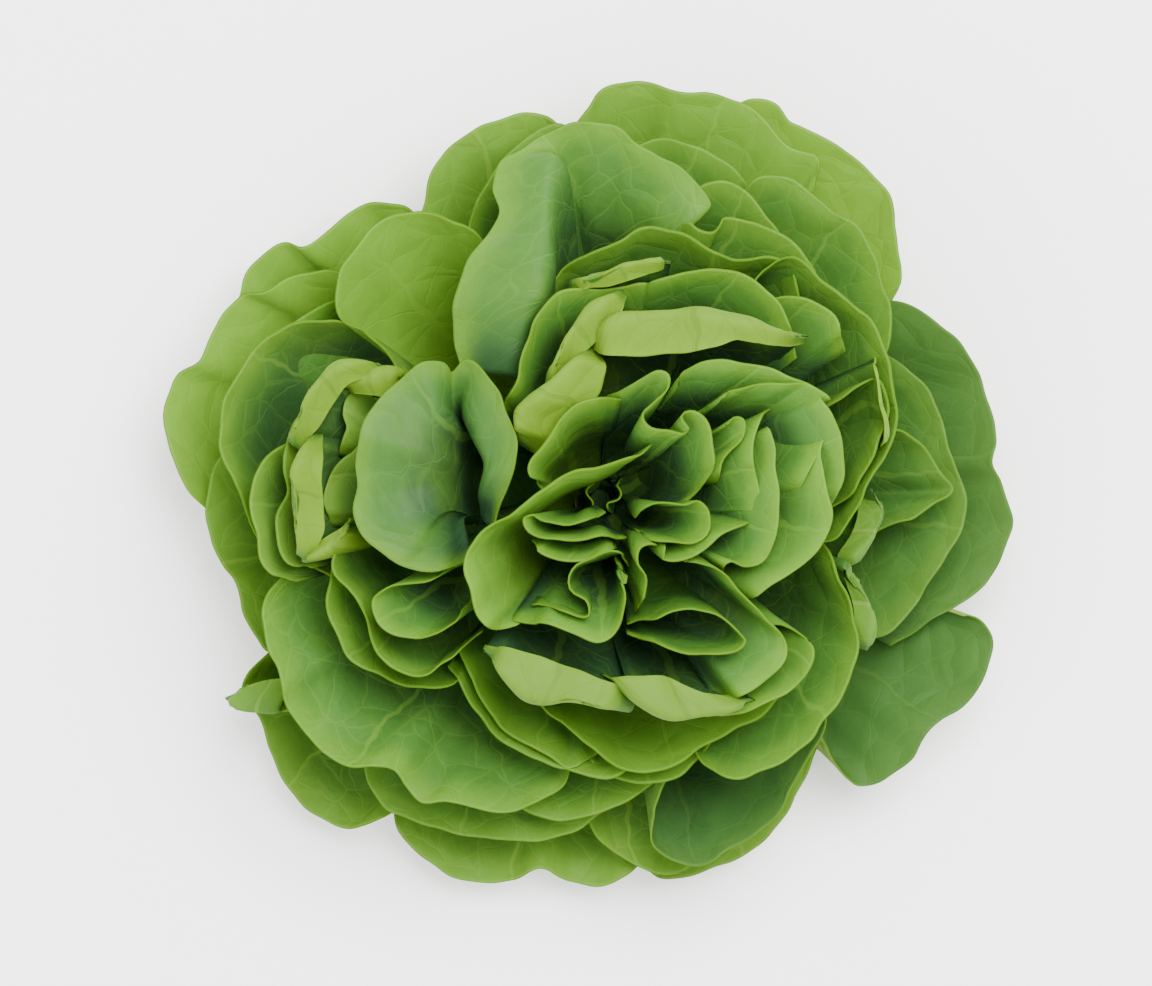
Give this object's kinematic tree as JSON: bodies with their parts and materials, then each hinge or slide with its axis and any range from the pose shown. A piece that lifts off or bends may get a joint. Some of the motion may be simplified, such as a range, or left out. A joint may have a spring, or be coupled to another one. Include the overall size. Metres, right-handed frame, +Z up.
{
  "type": "head of lettuce",
  "caption": "Loose butterhead lettuce, cut at the stem: a rosette of soft rounded green leaves cupped around a paler heart of curled leaves.",
  "frame": {"origin": "centre of the cut stem face, on the surface the head rests on", "axes": "+Z up through the heart; +X to the right and +Y away from a person who looks down on the head from its front"},
  "size_m": [0.2561, 0.2423, 0.1103],
  "materials": {
    "outer_leaf": "satin mid green leaf, bright yellow-green rim",
    "middle_leaf": "satin green leaf with paler veins and rim",
    "heart_leaf": "satin yellow-green leaf, pale underside",
    "stem": "matt cream, cut face"
  },
  "bodies": {
    "root": {"stem": "stem", "outer_leaf_southeast_low": "outer_leaf", "outer_leaf_northeast_low": "outer_leaf", "outer_leaf_south": "outer_leaf", "outer_leaf_southwest": "outer_leaf", "outer_leaf_northwest": "outer_leaf", "outer_leaf_southeast": "outer_leaf", "outer_leaf_east": "outer_leaf", "outer_leaf_west": "outer_leaf", "outer_leaf_northnorthwest": "outer_leaf", "outer_leaf_north": "outer_leaf", "outer_leaf_westsouthwest": "outer_leaf", "outer_leaf_southsouthwest": "outer_leaf", "middle_leaf_east_low": "middle_leaf", "middle_leaf_south_low": "middle_leaf", "middle_leaf_westnorthwest": "middle_leaf", "middle_leaf_north_low": "middle_leaf", "middle_leaf_northnorthwest": "middle_leaf", "middle_leaf_northeast_low": "middle_leaf", "middle_leaf_southsoutheast": "middle_leaf", "middle_leaf_east_pointed": "middle_leaf", "side_wrapper_leaf": "heart_leaf", "middle_leaf_northwest": "middle_leaf", "middle_leaf_southwest": "middle_leaf", "middle_leaf_northnortheast": "middle_leaf", "middle_leaf_southeast_turned": "middle_leaf", "middle_leaf_southwest_cup": "middle_leaf", "middle_leaf_southeast": "middle_leaf", "middle_leaf_southsouthwest": "middle_leaf", "middle_leaf_south_high": "middle_leaf", "middle_leaf_westsouthwest": "middle_leaf", "middle_leaf_north": "middle_leaf", "middle_leaf_northeast_ruffled": "middle_leaf", "middle_leaf_north_high": "middle_leaf", "middle_leaf_east_ring": "middle_leaf", "middle_leaf_east_inner": "middle_leaf", "side_leaf_west": "heart_leaf", "side_leaf_southwest": "heart_leaf", "side_leaf_northwest_turned": "heart_leaf", "side_leaf_pale_strip": "heart_leaf", "heart_leaf_west_cup": "heart_leaf", "heart_leaf_northwest_thin": "heart_leaf", "heart_leaf_north": "heart_leaf", "heart_leaf_folded": "heart_leaf", "heart_leaf_south_pale": "heart_leaf", "heart_leaf_southeast_pale": "heart_leaf", "heart_leaf_north_pale": "heart_leaf", "heart_leaf_northwest_pale": "heart_leaf", "heart_leaf_east_bright": "heart_leaf", "heart_leaf_west_ring": "heart_leaf", "heart_leaf_south_cup": "heart_leaf", "heart_leaf_northeast": "heart_leaf", "heart_leaf_northwest_lens": "heart_leaf", "heart_leaf_east_broad": "heart_leaf", "heart_leaf_southwest": "heart_leaf", "heart_leaf_east_serpent": "heart_leaf", "heart_leaf_squiggle": "heart_leaf", "heart_leaf_eye": "heart_leaf", "heart_leaf_centre_loop": "heart_leaf"}
  },
  "joints": []
}
